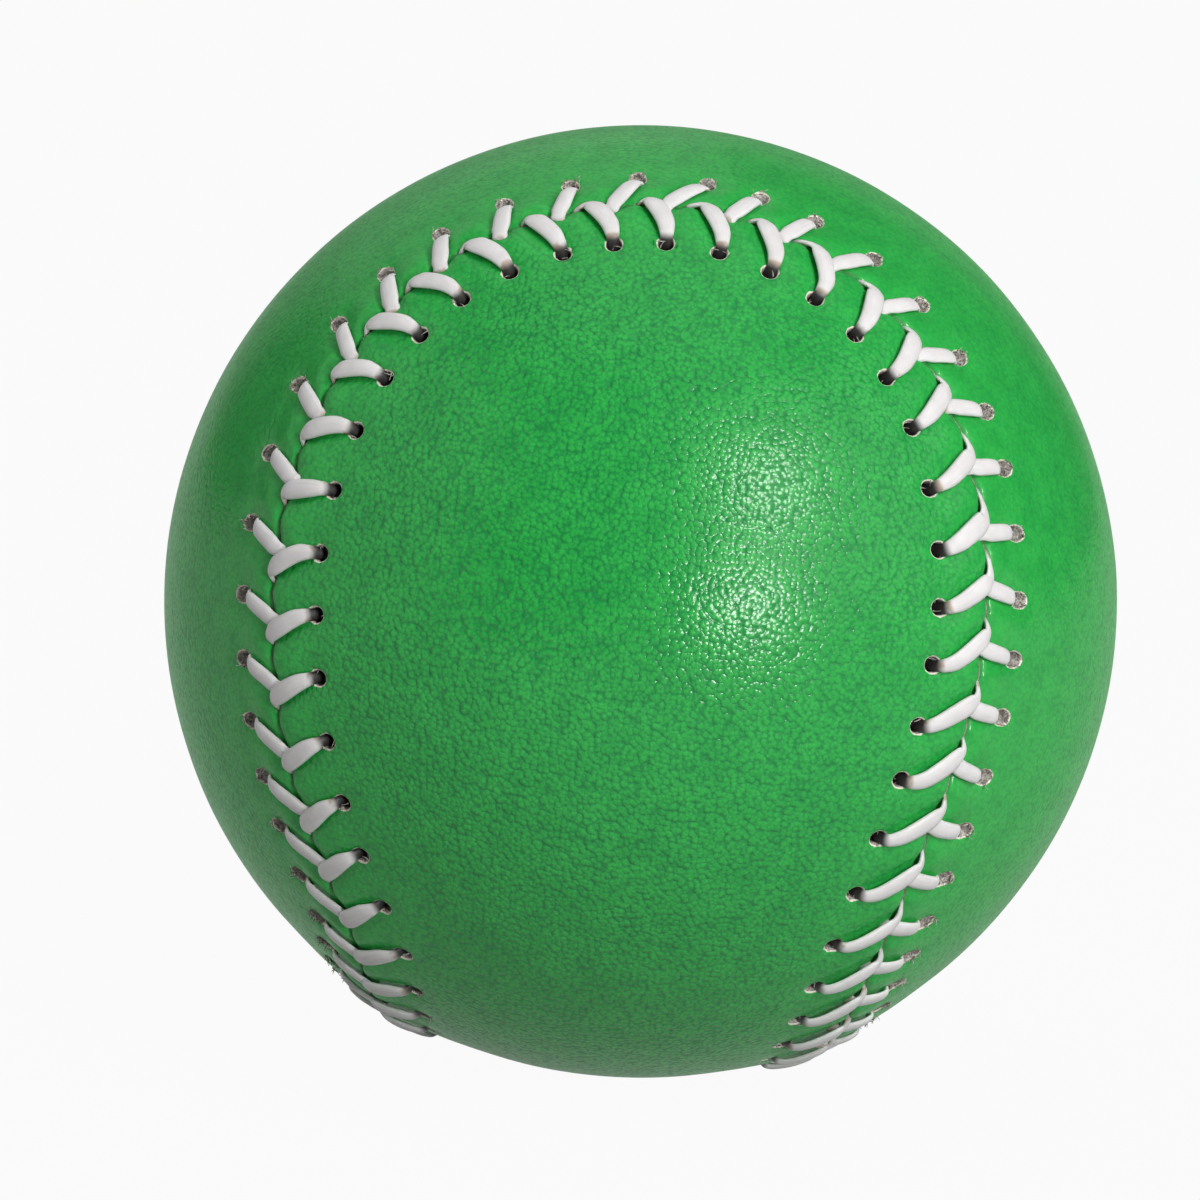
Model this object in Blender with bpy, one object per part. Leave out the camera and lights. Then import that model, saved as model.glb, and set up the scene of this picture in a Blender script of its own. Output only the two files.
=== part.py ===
"""Laced ball: a cork and rubber pill, four yarn windings, two leather panels and two laces.

Lengths are in metres and angles in radians.  The origin is the ball's centre, +Z is up and
the front of the ball faces -Y.  The lower panel's waist passes under the ball, with its lobes
in front and behind.  The upper panel's waist passes over the ball, with its lobes at the sides.
Places on the cover are given by a distance along the seam and an offset across it.
"""
import bisect
import math

import bmesh
import bpy
from mathutils import Vector
from mathutils.geometry import delaunay_2d_cdt

# leather cover
BALL_DIAMETER = 0.0738              # over the leather, clear of the seam
LEATHER_THICKNESS = 0.0013
SEAM_RISE = 0.00035                 # extra height of the leather at the seam
SEAM_RISE_REACH = 0.0090            # from the seam to where the extra height ends
WAIST_ANGLE = 0.4481                # from the middle of a panel's waist to its edge
SEAM_SWING = 0.3385                 # how far the seam swings out round the lobes

# laces
LACE_ARM_WIDTH = 0.00145            # over the leather
LACE_ARM_THICKNESS = 0.0007
LACE_ARM_CROWN = 0.00025            # how far the middle of an arm bows up
LACE_PINCHED_WIDTH = 0.0011         # in the holes, in the seam and under the leather
LACE_PINCHED_THICKNESS = 0.0005
LACE_CLEARANCE = 0.0002             # between a lace and the leather over or under it, or the yarn
HOLE_CLEARANCE = 0.0003             # between a lace and the sides of its hole
SEAM_CLEARANCE = 0.0003             # between a lace and the edges of the panels
DIVE_CLEARANCE = 0.0007             # between the two arms of a stitch where they enter the seam

# stitches, each with a hole in either panel
STITCH_COUNT = 84
STITCH_START = -0.00035             # place of the first stitch along the seam
HOLE_INSET = 0.0045                 # from the seam to the middle of a hole
HOLE_STRETCH = 0.0002               # how much longer than wide a hole is
HOLE_LEAD = 0.0004                  # lower hole this far ahead of the stitch, upper hole behind it
HOLE_SWING = -0.00098               # the part of that lead which changes round the lobes
UPPER_DIVE = 0.0011                 # from the stitch to where the arm from its upper hole enters the seam
LACE_TAIL = 0.0020                  # end of a lace, tucked under the leather

# pill
CORK_DIAMETER = 0.0206
BLACK_RUBBER_THICKNESS = 0.0030
RED_RUBBER_THICKNESS = 0.0029
WASHER_THICKNESS = 0.0008

# windings: the coarse one fills the space between the pill and these
WHITE_WINDING_THICKNESS = 0.0018
FINE_WINDING_THICKNESS = 0.0022
FINISHING_WINDING_THICKNESS = 0.0012
YARN_HOLE_DIAMETER = 0.0030         # where each yarn comes up through its own layer
CHANNEL_MARGIN = 0.00055            # from the holes to the edge of the channel under the laces
CHANNEL_SLOPE = 0.0022              # width of the channel's sloping edge
LAYER_GAP = 0.0003                  # between one layer and the next
COVER_GAP = 0.00045                 # between the last winding and the leather

# mesh
TURN_STEPS = 16
ARC_ANGLE = math.pi / 8
HOLE_SIDES = 6
EDGE_POINTS = 2                     # points of a panel's edge for each stitch
ARM_RINGS = (0.35, 0.68)            # rings of an arm, as shares of the way from its hole to the seam
GUARD_MARGIN = 0.00175              # from the holes to the row of points behind them
GRID_SPACING = 0.0078
SEAM_SAMPLES = 4800
SMALL_TURN = 1e-4
SMALL_LENGTH = 1e-7
SHARP_ANGLE = math.radians(40)
SHARPEST_MITRE = 0.6

HOLE_WIDTH = LACE_PINCHED_WIDTH + 2 * HOLE_CLEARANCE
HOLE_LENGTH = HOLE_WIDTH + HOLE_STRETCH
HOLE_REACH = HOLE_INSET + HOLE_LENGTH / 2
SEAM_GAP = LACE_PINCHED_THICKNESS + 2 * SEAM_CLEARANCE
LOWER_DIVE = UPPER_DIVE + LACE_PINCHED_WIDTH + DIVE_CLEARANCE
CHANNEL_REACH = HOLE_REACH + CHANNEL_MARGIN
GUARD_REACH = HOLE_REACH + GUARD_MARGIN
GRID_REACH = CHANNEL_REACH + CHANNEL_SLOPE + GRID_SPACING / 2

BALL_RADIUS = BALL_DIAMETER / 2
CORK_RADIUS = CORK_DIAMETER / 2
BLACK_INNER = CORK_RADIUS + LAYER_GAP
BLACK_OUTER = BLACK_INNER + BLACK_RUBBER_THICKNESS
RED_INNER = BLACK_OUTER + LAYER_GAP
RED_OUTER = RED_INNER + RED_RUBBER_THICKNESS
FINISHING_OUTER = BALL_RADIUS - LEATHER_THICKNESS - COVER_GAP
FINISHING_INNER = FINISHING_OUTER - FINISHING_WINDING_THICKNESS
FINE_OUTER = FINISHING_INNER - LAYER_GAP
FINE_INNER = FINE_OUTER - FINE_WINDING_THICKNESS
WHITE_OUTER = FINE_INNER - LAYER_GAP
WHITE_INNER = WHITE_OUTER - WHITE_WINDING_THICKNESS
COARSE_OUTER = WHITE_INNER - LAYER_GAP
COARSE_INNER = RED_OUTER + LAYER_GAP

LOWER, UPPER = 1, -1

# colour and roughness
CORK = ((0.42, 0.24, 0.11), 0.9)
BLACK_RUBBER = ((0.02, 0.02, 0.02), 0.7)
RED_RUBBER = ((0.45, 0.04, 0.03), 0.6)
COARSE_WOOL = ((0.23, 0.23, 0.24), 0.95)
WHITE_WOOL = ((0.70, 0.69, 0.65), 0.95)
FINE_WOOL = ((0.33, 0.33, 0.34), 0.95)
COTTON = ((0.62, 0.60, 0.55), 0.9)
GREEN_LEATHER = ((0.045, 0.35, 0.085), 0.45)
WAXED_LACE = ((0.85, 0.85, 0.82), 0.3)


def mix(start, end, share):
    return start + (end - start) * share


# places on the cover

def seam_direction(turn):
    """Direction of the seam from the ball's centre; two full turns go once round it."""
    polar = math.pi / 2 - (math.pi / 2 - WAIST_ANGLE) * math.cos(turn)
    around = turn / 2 + SEAM_SWING * math.sin(2 * turn)
    return Vector((math.sin(polar) * math.cos(around), -math.sin(polar) * math.sin(around), -math.cos(polar)))


SEAM_TURNS = [4 * math.pi * sample / SEAM_SAMPLES for sample in range(SEAM_SAMPLES + 1)]
SEAM_DIRECTIONS = [seam_direction(turn) for turn in SEAM_TURNS]
SEAM_DISTANCES = [0.0]
for before, after in zip(SEAM_DIRECTIONS, SEAM_DIRECTIONS[1:]):
    SEAM_DISTANCES.append(SEAM_DISTANCES[-1] + (after - before).length * BALL_RADIUS)
SEAM_LENGTH = SEAM_DISTANCES[-1]
STITCH_PITCH = SEAM_LENGTH / STITCH_COUNT


def seam_frame(distance):
    """Unit directions at a distance along the seam: outward, along it, and across it to the lower panel."""
    distance %= SEAM_LENGTH
    index = max(1, bisect.bisect_left(SEAM_DISTANCES, distance))
    first, last = SEAM_DISTANCES[index - 1], SEAM_DISTANCES[index]
    turn = mix(SEAM_TURNS[index - 1], SEAM_TURNS[index], (distance - first) / (last - first))
    out = seam_direction(turn)
    along = (seam_direction(turn + SMALL_TURN) - seam_direction(turn - SMALL_TURN)).normalized()
    return out, along, out.cross(along)


def cover_direction(distance, offset):
    """Direction of a place on the cover; its offset is positive on the lower panel."""
    out, along, across = seam_frame(distance)
    angle = offset / BALL_RADIUS
    return out * math.cos(angle) + across * math.sin(angle)


def leather_radius(offset):
    """Outer radius of the leather at an offset from the seam."""
    share = min(1.0, abs(offset) / SEAM_RISE_REACH)
    return BALL_RADIUS + SEAM_RISE * (1 + math.cos(math.pi * share)) / 2


def stitch_place(stitch):
    return STITCH_START + stitch * STITCH_PITCH


def hole_place(stitch, side):
    """Distance along the seam of a stitch's hole in one panel."""
    lead = HOLE_LEAD + HOLE_SWING * math.sin(4 * math.pi * stitch_place(stitch) / SEAM_LENGTH)
    return stitch_place(stitch) + side * lead


def dive_place(stitch, side):
    """Distance along the seam where the arm from that hole enters the seam."""
    return stitch_place(stitch) + (LOWER_DIVE if side == LOWER else UPPER_DIVE)


def hole_corner(stitch, side, corner):
    """Direction of a corner of a lace hole, and its offset from the seam."""
    place = hole_place(stitch, side)
    middle = cover_direction(place, side * HOLE_INSET)
    along = seam_frame(place)[1]
    inward = middle.cross(along) * side
    angle = 2 * math.pi * corner / HOLE_SIDES
    reach = HOLE_LENGTH / 2 * math.cos(angle)
    spread = HOLE_WIDTH / 2 * math.sin(angle)
    return (middle * BALL_RADIUS + inward * reach + along * spread).normalized(), HOLE_INSET + reach


# panels laid flat, to be divided into triangles

def flat_place(direction, side):
    """Angle along a panel's spine from its waist, and angle off the spine."""
    if side == LOWER:
        return Vector((math.atan2(direction.y, -direction.z), math.asin(direction.x)))
    return Vector((math.atan2(direction.x, direction.z), math.asin(direction.y)))


def round_place(angle, lean, side):
    """The reverse of flat_place."""
    if side == LOWER:
        return Vector((math.sin(lean), math.cos(lean) * math.sin(angle), -math.cos(lean) * math.cos(angle)))
    return Vector((math.cos(lean) * math.sin(angle), math.sin(lean), math.cos(lean) * math.cos(angle)))


def panel_offset(direction, side):
    """How far inside a panel's edge a direction lies; below zero on the other panel."""
    nearest = max(range(SEAM_SAMPLES), key=lambda sample: direction.dot(SEAM_DIRECTIONS[sample]))
    out, along, across = seam_frame(SEAM_DISTANCES[nearest])
    return math.copysign(direction.angle(out) * BALL_RADIUS, direction.dot(across) * side)


def panel_grid(side):
    """Evenly spread directions in the middle of a panel, with their offsets from the seam."""
    step = GRID_SPACING / BALL_RADIUS
    quarter_rows = 2 * max(1, round(math.pi / 4 / step))
    row_angle = math.pi / 2 / quarter_rows
    columns = math.floor(math.pi / 2 / step)
    places = []
    for row in range(1 - 2 * quarter_rows, 2 * quarter_rows):
        shift = step / 2 if row % 2 else 0.0
        for column in range(-columns, columns):
            direction = round_place(row * row_angle, column * step + shift, side)
            offset = panel_offset(direction, side)
            if offset > GRID_REACH:
                places.append((direction, offset))
    return places


def triangulate(directions, loops, side):
    """Triangles over a panel.  The first loop is its edge, each further loop is a hole."""
    flat = [flat_place(direction, side) for direction in directions]
    edges = [(loop[i - 1], loop[i]) for loop in loops for i in range(len(loop))]
    results = delaunay_2d_cdt(flat, edges, [], 1, SMALL_LENGTH)
    flat_faces, origins = results[2], results[3]
    hole_of = {index: number for number, loop in enumerate(loops[1:]) for index in loop}
    triangles = []
    for face in flat_faces:
        corners = [origins[index][0] for index in face]
        holes = {hole_of.get(index) for index in corners}
        if len(holes) > 1 or None in holes:
            triangles.append(corners)
    return triangles


# solids

def make_object(name, work, look):
    """An object with its own material from a finished bmesh."""
    bmesh.ops.recalc_face_normals(work, faces=work.faces)
    mesh = bpy.data.meshes.new(name)
    work.to_mesh(mesh)
    work.free()
    mesh.shade_smooth()
    mesh.set_sharp_from_angle(angle=SHARP_ANGLE)
    colour, roughness = look
    material = bpy.data.materials.new(name + "_material")
    material.use_nodes = True
    shader = material.node_tree.nodes["Principled BSDF"]
    shader.inputs["Base Color"].default_value = (*colour, 1.0)
    shader.inputs["Roughness"].default_value = roughness
    mesh.materials.append(material)
    thing = bpy.data.objects.new(name, mesh)
    bpy.context.collection.objects.link(thing)
    return thing


def arc(radius, start, end):
    """Profile places on a circle, by angles from the +Z axis, with one at every ARC_ANGLE between the ends."""
    low, high = min(start, end), max(start, end)
    steps = range(1, round(math.pi / ARC_ANGLE))
    between = [step * ARC_ANGLE for step in steps if low + SMALL_TURN < step * ARC_ANGLE < high - SMALL_TURN]
    angles = [low] + between + [high]
    if start > end:
        angles.reverse()
    return [(radius * math.sin(angle), radius * math.cos(angle)) for angle in angles]


def turn_profile(work, profile):
    """Turn a profile of (radius, height) places about the Z axis."""
    verts = [work.verts.new((radius, 0.0, height)) for radius, height in profile]
    edges = [work.edges.new(pair) for pair in zip(verts, verts[1:])]
    bmesh.ops.spin(
        work,
        geom=verts + edges,
        cent=(0.0, 0.0, 0.0),
        axis=(0.0, 0.0, 1.0),
        angle=2 * math.pi,
        steps=TURN_STEPS,
        use_merge=True,
    )
    bmesh.ops.remove_doubles(work, verts=work.verts, dist=SMALL_LENGTH)


def turned(name, profile, look):
    work = bmesh.new()
    turn_profile(work, profile)
    return make_object(name, work, look)


def half_shell(name, inner, outer, rim, sign, look):
    """A rubber half shell with a flat rim at a height above or below the middle."""
    profile = arc(outer, 0.0, math.acos(rim / outer)) + arc(inner, math.acos(rim / inner), 0.0)
    return turned(name, [(radius, sign * height) for radius, height in profile], look)


def washer(name, sign, look):
    near = sign * LAYER_GAP / 2
    far = near + sign * WASHER_THICKNESS
    profile = [(BLACK_INNER, near), (BLACK_OUTER, near), (BLACK_OUTER, far), (BLACK_INNER, far), (BLACK_INNER, near)]
    return turned(name, profile, look)


def yarn_hole_angle(radius):
    return math.asin(YARN_HOLE_DIAMETER / 2 / radius)


def winding(name, inner, outer, look):
    """A round yarn layer with its yarn hole at the top."""
    profile = arc(outer, yarn_hole_angle(outer), math.pi) + arc(inner, math.pi, yarn_hole_angle(inner))
    return turned(name, profile + profile[:1], look)


def finishing_winding(name, look):
    """The last yarn layer: its outer face sinks into a channel under the laces."""
    work = bmesh.new()
    turn_profile(work, arc(FINISHING_INNER, yarn_hole_angle(FINISHING_INNER), math.pi))
    channel_radius = leather_radius(CHANNEL_REACH) - LEATHER_THICKNESS - LACE_PINCHED_THICKNESS - 2 * LACE_CLEARANCE
    distances = [stitch_place(stitch) for stitch in range(STITCH_COUNT)]
    seam = [work.verts.new(cover_direction(distance, 0.0) * channel_radius) for distance in distances]
    for side in (LOWER, UPPER):
        loops = [list(range(STITCH_COUNT))]
        verts = list(seam)
        for distance in distances:
            verts.append(work.verts.new(cover_direction(distance, side * CHANNEL_REACH) * channel_radius))
            crest = cover_direction(distance + STITCH_PITCH / 2, side * (CHANNEL_REACH + CHANNEL_SLOPE))
            verts.append(work.verts.new(crest * FINISHING_OUTER))
        hole_angle = yarn_hole_angle(FINISHING_OUTER) if side == UPPER else 0.0
        for direction, offset in panel_grid(side):
            if direction.z < math.cos(hole_angle):
                verts.append(work.verts.new(direction * FINISHING_OUTER))
        if side == UPPER:
            loops.append(list(range(len(verts), len(verts) + TURN_STEPS)))
            for step in range(TURN_STEPS):
                around = 2 * math.pi * step / TURN_STEPS
                lean = math.sin(hole_angle)
                rim = Vector((lean * math.cos(around), lean * math.sin(around), math.cos(hole_angle)))
                verts.append(work.verts.new(rim * FINISHING_OUTER))
        for corners in triangulate([vert.co.normalized() for vert in verts], loops, side):
            work.faces.new([verts[index] for index in corners])
    bmesh.ops.bridge_loops(work, edges=[edge for edge in work.edges if edge.is_boundary])
    return make_object(name, work, look)


def leather_panel(name, side, look):
    """A figure-eight panel with its row of lace holes."""
    edge_count = STITCH_COUNT * EDGE_POINTS
    edge_offset = SEAM_GAP / 2
    places = []
    for point in range(edge_count):
        places.append((cover_direction(SEAM_LENGTH * point / edge_count, side * edge_offset), edge_offset))
    loops = [list(range(edge_count))]
    for stitch in range(STITCH_COUNT):
        loops.append(list(range(len(places), len(places) + HOLE_SIDES)))
        places += [hole_corner(stitch, side, corner) for corner in range(HOLE_SIDES)]
    for stitch in range(STITCH_COUNT):
        between = (hole_place(stitch, side) + hole_place(stitch + 1, side)) / 2
        places.append((cover_direction(between, side * GUARD_REACH), GUARD_REACH))
    places += panel_grid(side)
    work = bmesh.new()
    verts = [work.verts.new(direction * leather_radius(offset)) for direction, offset in places]
    for corners in triangulate([direction for direction, offset in places], loops, side):
        work.faces.new([verts[index] for index in corners])
    panel = make_object(name, work, look)
    thickness = panel.modifiers.new("leather thickness", "SOLIDIFY")
    thickness.thickness = LEATHER_THICKNESS
    thickness.offset = -1.0
    return panel


# laces

def lace_arm(stitch, side):
    """Middle, width direction, width and thickness of each ring of an arm, from under its hole to under the seam."""
    hole, dive = hole_place(stitch, side), dive_place(stitch, side)
    hole_out = cover_direction(hole, side * HOLE_INSET)
    dive_out = cover_direction(dive, 0.0)
    hole_along = seam_frame(hole)[1]
    dive_along = seam_frame(dive)[1]
    below = LEATHER_THICKNESS + LACE_CLEARANCE + LACE_PINCHED_THICKNESS / 2
    above = LACE_CLEARANCE + LACE_ARM_THICKNESS / 2
    pinched = (LACE_PINCHED_WIDTH, LACE_PINCHED_THICKNESS)
    rings = [(hole_out * (leather_radius(HOLE_INSET) - below), hole_along, *pinched)]
    rings.append((hole_out * (leather_radius(HOLE_INSET) + above), hole_along, *pinched))
    for share in ARM_RINGS:
        offset = side * HOLE_INSET * (1 - share)
        out = cover_direction(mix(hole, dive, share), offset)
        middle = out * (leather_radius(offset) + above + LACE_ARM_CROWN)
        broad = out.cross(dive_out - hole_out) * side
        rings.append((middle, broad.normalized(), LACE_ARM_WIDTH, LACE_ARM_THICKNESS))
    rings.append((dive_out * (leather_radius(0.0) + above), dive_along, *pinched))
    rings.append((dive_out * (leather_radius(0.0) - below), dive_along, *pinched))
    return rings


def lace_route(first_side):
    """Rings of a lace that goes once round the seam, through a hole on either side in turn."""
    rings = []
    for stitch in range(STITCH_COUNT):
        rings += lace_arm(stitch, first_side if stitch % 2 == 0 else -first_side)
    next_side = first_side if STITCH_COUNT % 2 == 0 else -first_side
    last, next_hole = rings[-1], lace_arm(STITCH_COUNT, next_side)[0]
    tail = (next_hole[0] - last[0]).normalized() * LACE_TAIL
    rings.append((last[0] + tail, *last[1:]))
    return rings


def lace(name, first_side, look):
    """A flat lace swept along its route, with mitred bends."""
    rings = lace_route(first_side)
    middles = [ring[0] for ring in rings]
    steps = [(after - before).normalized() for before, after in zip(middles, middles[1:])]
    work = bmesh.new()
    previous = None
    for number, (middle, width_direction, width, thickness) in enumerate(rings):
        arriving, leaving = steps[max(0, number - 1)], steps[min(number, len(steps) - 1)]
        heading = (arriving + leaving).normalized()
        broad = (width_direction - heading * width_direction.dot(heading)).normalized() * (width / 2)
        mitre = max(SHARPEST_MITRE, heading.dot(leaving))
        thick = broad.cross(heading).normalized() * (thickness / 2 / mitre)
        corners = (broad + thick, broad - thick, -broad - thick, -broad + thick)
        ring = [work.verts.new(middle + corner) for corner in corners]
        if previous:
            for i in range(len(ring)):
                work.faces.new((previous[i - 1], previous[i], ring[i], ring[i - 1]))
        else:
            work.faces.new(ring)
        previous = ring
    work.faces.new(previous)
    length = sum((after - before).length for before, after in zip(middles, middles[1:]))
    print(f"{name}: {length:.3f} m long")
    return make_object(name, work, look)


for old in list(bpy.data.objects):
    bpy.data.objects.remove(old, do_unlink=True)

turned("cork_core", arc(CORK_RADIUS, 0.0, math.pi), CORK)
for place, sign in (("upper", 1), ("lower", -1)):
    black_rim = 1.5 * LAYER_GAP + WASHER_THICKNESS
    half_shell("black_shell_" + place, BLACK_INNER, BLACK_OUTER, black_rim, sign, BLACK_RUBBER)
    washer("washer_" + place, sign, RED_RUBBER)
    half_shell("red_shell_" + place, RED_INNER, RED_OUTER, LAYER_GAP / 2, sign, RED_RUBBER)
winding("coarse_winding", COARSE_INNER, COARSE_OUTER, COARSE_WOOL)
winding("white_winding", WHITE_INNER, WHITE_OUTER, WHITE_WOOL)
winding("fine_winding", FINE_INNER, FINE_OUTER, FINE_WOOL)
finishing_winding("finishing_winding", COTTON)
leather_panel("lower_panel", LOWER, GREEN_LEATHER)
leather_panel("upper_panel", UPPER, GREEN_LEATHER)
lace("first_lace", LOWER, WAXED_LACE)
lace("second_lace", UPPER, WAXED_LACE)
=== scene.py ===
import math

import bmesh
import bpy
import numpy as np
from mathutils import Matrix, Vector
from mathutils.geometry import delaunay_2d_cdt
from mathutils.kdtree import KDTree


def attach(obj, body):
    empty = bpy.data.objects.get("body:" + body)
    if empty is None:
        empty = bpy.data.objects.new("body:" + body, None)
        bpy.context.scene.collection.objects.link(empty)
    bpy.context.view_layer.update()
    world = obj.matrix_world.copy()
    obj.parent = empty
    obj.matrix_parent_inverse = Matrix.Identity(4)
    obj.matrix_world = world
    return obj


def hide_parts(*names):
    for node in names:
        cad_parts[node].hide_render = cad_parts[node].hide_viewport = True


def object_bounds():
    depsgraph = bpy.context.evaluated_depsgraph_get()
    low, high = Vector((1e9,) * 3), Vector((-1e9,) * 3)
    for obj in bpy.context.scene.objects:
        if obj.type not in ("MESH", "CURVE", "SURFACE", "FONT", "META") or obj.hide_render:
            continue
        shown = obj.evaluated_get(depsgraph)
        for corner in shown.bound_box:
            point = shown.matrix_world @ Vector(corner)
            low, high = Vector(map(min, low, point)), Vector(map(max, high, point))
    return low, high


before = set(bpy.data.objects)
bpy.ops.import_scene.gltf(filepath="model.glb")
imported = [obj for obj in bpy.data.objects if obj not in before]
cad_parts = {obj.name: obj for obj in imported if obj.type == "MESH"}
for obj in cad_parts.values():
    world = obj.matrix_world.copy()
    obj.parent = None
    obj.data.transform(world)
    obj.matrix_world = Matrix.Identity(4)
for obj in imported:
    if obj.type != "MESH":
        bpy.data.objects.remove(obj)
cad_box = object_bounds()

MM = 0.001

# the ball and its seam, as in the solids
BALL_RADIUS = 0.0369
LEATHER_THICKNESS = 0.0013
WAIST_ANGLE = 0.4481
SEAM_SWING = 0.3385
STITCH_COUNT = 84
STITCH_START = -0.00035
HOLE_LEAD = 0.0004
HOLE_SWING = -0.00098
LOWER, UPPER = 1, -1
SEAM_SAMPLES = 4800
SMALL_TURN = 1e-4

# hand lacing: how far the seam, the holes and the crossings stray at the stitches in sight, in millimetres
DRIFT_STITCHES = (1,) + tuple(range(4, 38)) + (41,)
SEAM_WANDER = (
    0.13, 0.25, 0.42, 0.57, 0.58, 0.44, 0.33, 0.29, 0.30, 0.42, 0.52, 0.26, 0.03, -0.38, -0.46, -0.15, 0.35,
    0.80, 0.62, 0.20, -0.22, -0.42, -0.34, -0.24, -0.18, -0.24, -0.42, -0.57, -0.66, -0.70, -0.50, 0.15,
    0.95, 1.80)
HOLE_DRIFT = {LOWER: (
    0.59, 0.57, 0.54, 0.65, 0.60, 0.58, 0.07, 0.10, -0.16, -0.28, 0.15, 0.85, 0.91, 0.63, 0.26, -0.28,
    -0.58, -0.00, 0.41, -0.05, -0.31, -0.57, -0.76, -0.83, -0.52, -0.05, 0.32, 0.33, 0.38, 0.46, 0.44,
    -0.09, -0.43, -0.59,
), UPPER: (
    1.06, 0.86, 0.50, 0.47, 0.35, 0.28, 0.41, 0.16, -0.12, 0.05, 0.13, -0.26, -0.66, -0.66, -0.58, -0.16,
    -0.53, -1.41, -1.47, -1.43, -1.11, -0.69, -0.53, -0.38, 0.04, 0.62, 1.12, 1.76, 1.95, 2.22, 2.25, 1.99,
    1.99, 1.94)}
CROSSING_DRIFT = {LOWER: (
    0.89, 0.84, 0.63, 0.96, 0.77, 0.99, 0.30, 0.59, -0.11, -0.21, 0.01, 0.67, 0.51, 0.41, 1.00, 0.80, 0.34,
    0.23, 0.02, 0.04, 0.14, 0.43, 0.09, -0.02, 0.24, 0.25, 1.46, 1.52, 1.58, 1.99, 2.18, 1.73, 1.26, 0.88,
), UPPER: (
    0.35, 0.20, 0.05, 0.11, -0.17, 0.07, -0.25, -0.45, -0.51, -1.08, -0.74, -0.70, -0.85, -1.00, -0.83,
    -1.07, -1.49, -1.26, -1.73, -2.14, -2.09, -1.83, -1.79, -1.69, -1.31, -0.78, -0.12, 0.40, 0.68, 1.16,
    1.03, 0.70, 0.65, 0.65)}
TAIL_STITCHES = (10, 13, 16, 22, 26, 36, 40)
TAIL_STRETCH = (1.0, 1.5, 1.0, 1.0, 0.6, 0.6, 1.0)  # some lace ends lie longer in the seam than others
WANDER_STEPS = 8
WANDER_SMOOTHING = 13

# the leather cover
HOLE_INSET = {LOWER: 0.0045, UPPER: 0.0038}  # from the seam to the middle of a lace hole
HOLE_HALF_WIDTH = {LOWER: 0.00061, UPPER: 0.00060}
HOLE_HALF_LENGTH = {LOWER: 0.00072, UPPER: 0.00100}
HOLE_SLANT = {LOWER: 0.0, UPPER: 0.0010}  # how far a hole leans to the seam under the leather
HOLE_RINGS = (0.0, 0.00006, 0.00015, 0.00034)  # rings of the lip, from the hole's edge outwards
SEAM_SLIT = 0.00006  # from the seam's middle to a panel's edge
GRAIN_SHARE = {LOWER: 1.0, UPPER: 0.50}  # one hide is more deeply grained than the other
HOLE_SHADE_LIFT = {LOWER: 0.0, UPPER: 0.85}  # how far the painted shade in a panel's holes is lifted, where pale fuzz fills them
FILM_RELIEF = 0.42  # share of the grain's relief that shows in the glossy film
GRAIN_AT_SEAM = 0.5  # share of the grain left where the leather is stretched
GRAIN_FADE_START = 0.002
GRAIN_FADE_REACH = 0.006

# the leather's relief: sizes of its node tree
RELIEF = {
    "Ball Radius": BALL_RADIUS, "Leather Thickness": LEATHER_THICKNESS,
    "Seam Rise": 0.00035, "Seam Rise Reach": 0.0090,
    "Edge Roll Depth": 0.00040, "Edge Roll Reach": 0.00065, "Edge Roll Power": 2.4,
    "Puff Height": 0.00026, "Puff Reach": 0.0042, "Puff Start": 0.0006, "Puff Full": 0.0021,
    "Lace Press Depth": 0.00015, "Lace Press Reach": 0.0012, "Lace Press Core": 0.0002,
    "Hole Lip Depth": 0.00009, "Hole Lip Reach": 0.00010, "Hole Lip Power": 1.8,
    "Hole Dip Depth": 0.00006, "Hole Dip Reach": 0.0016,
    "Unevenness": 0.00010, "Unevenness Size": 0.011,
}

# the cover's mesh
COLUMNS = 12  # columns for each stitch
HOLE_COLUMNS = 6  # columns and rows taken up by a hole
HOLE_PATCH = 0.0015
EDGE_ROWS = (0.0, 0.05, 0.11, 0.19, 0.30, 0.45, 0.62, 0.80)
BAND_REACH = 0.0104
BAND_ROWS = (0.11, 0.25, 0.42, 0.66, 1.0)
WALL_SHARES = (0.0, 0.3, 0.65, 1.0)
FIELD_SPACING = 0.0009
FIELD_MARGIN = 0.00055
PATCH_CORNER = math.radians(225)  # where a hole's patch has its first corner
ARM_SAMPLES = 14
TINY = 1e-9
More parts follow.
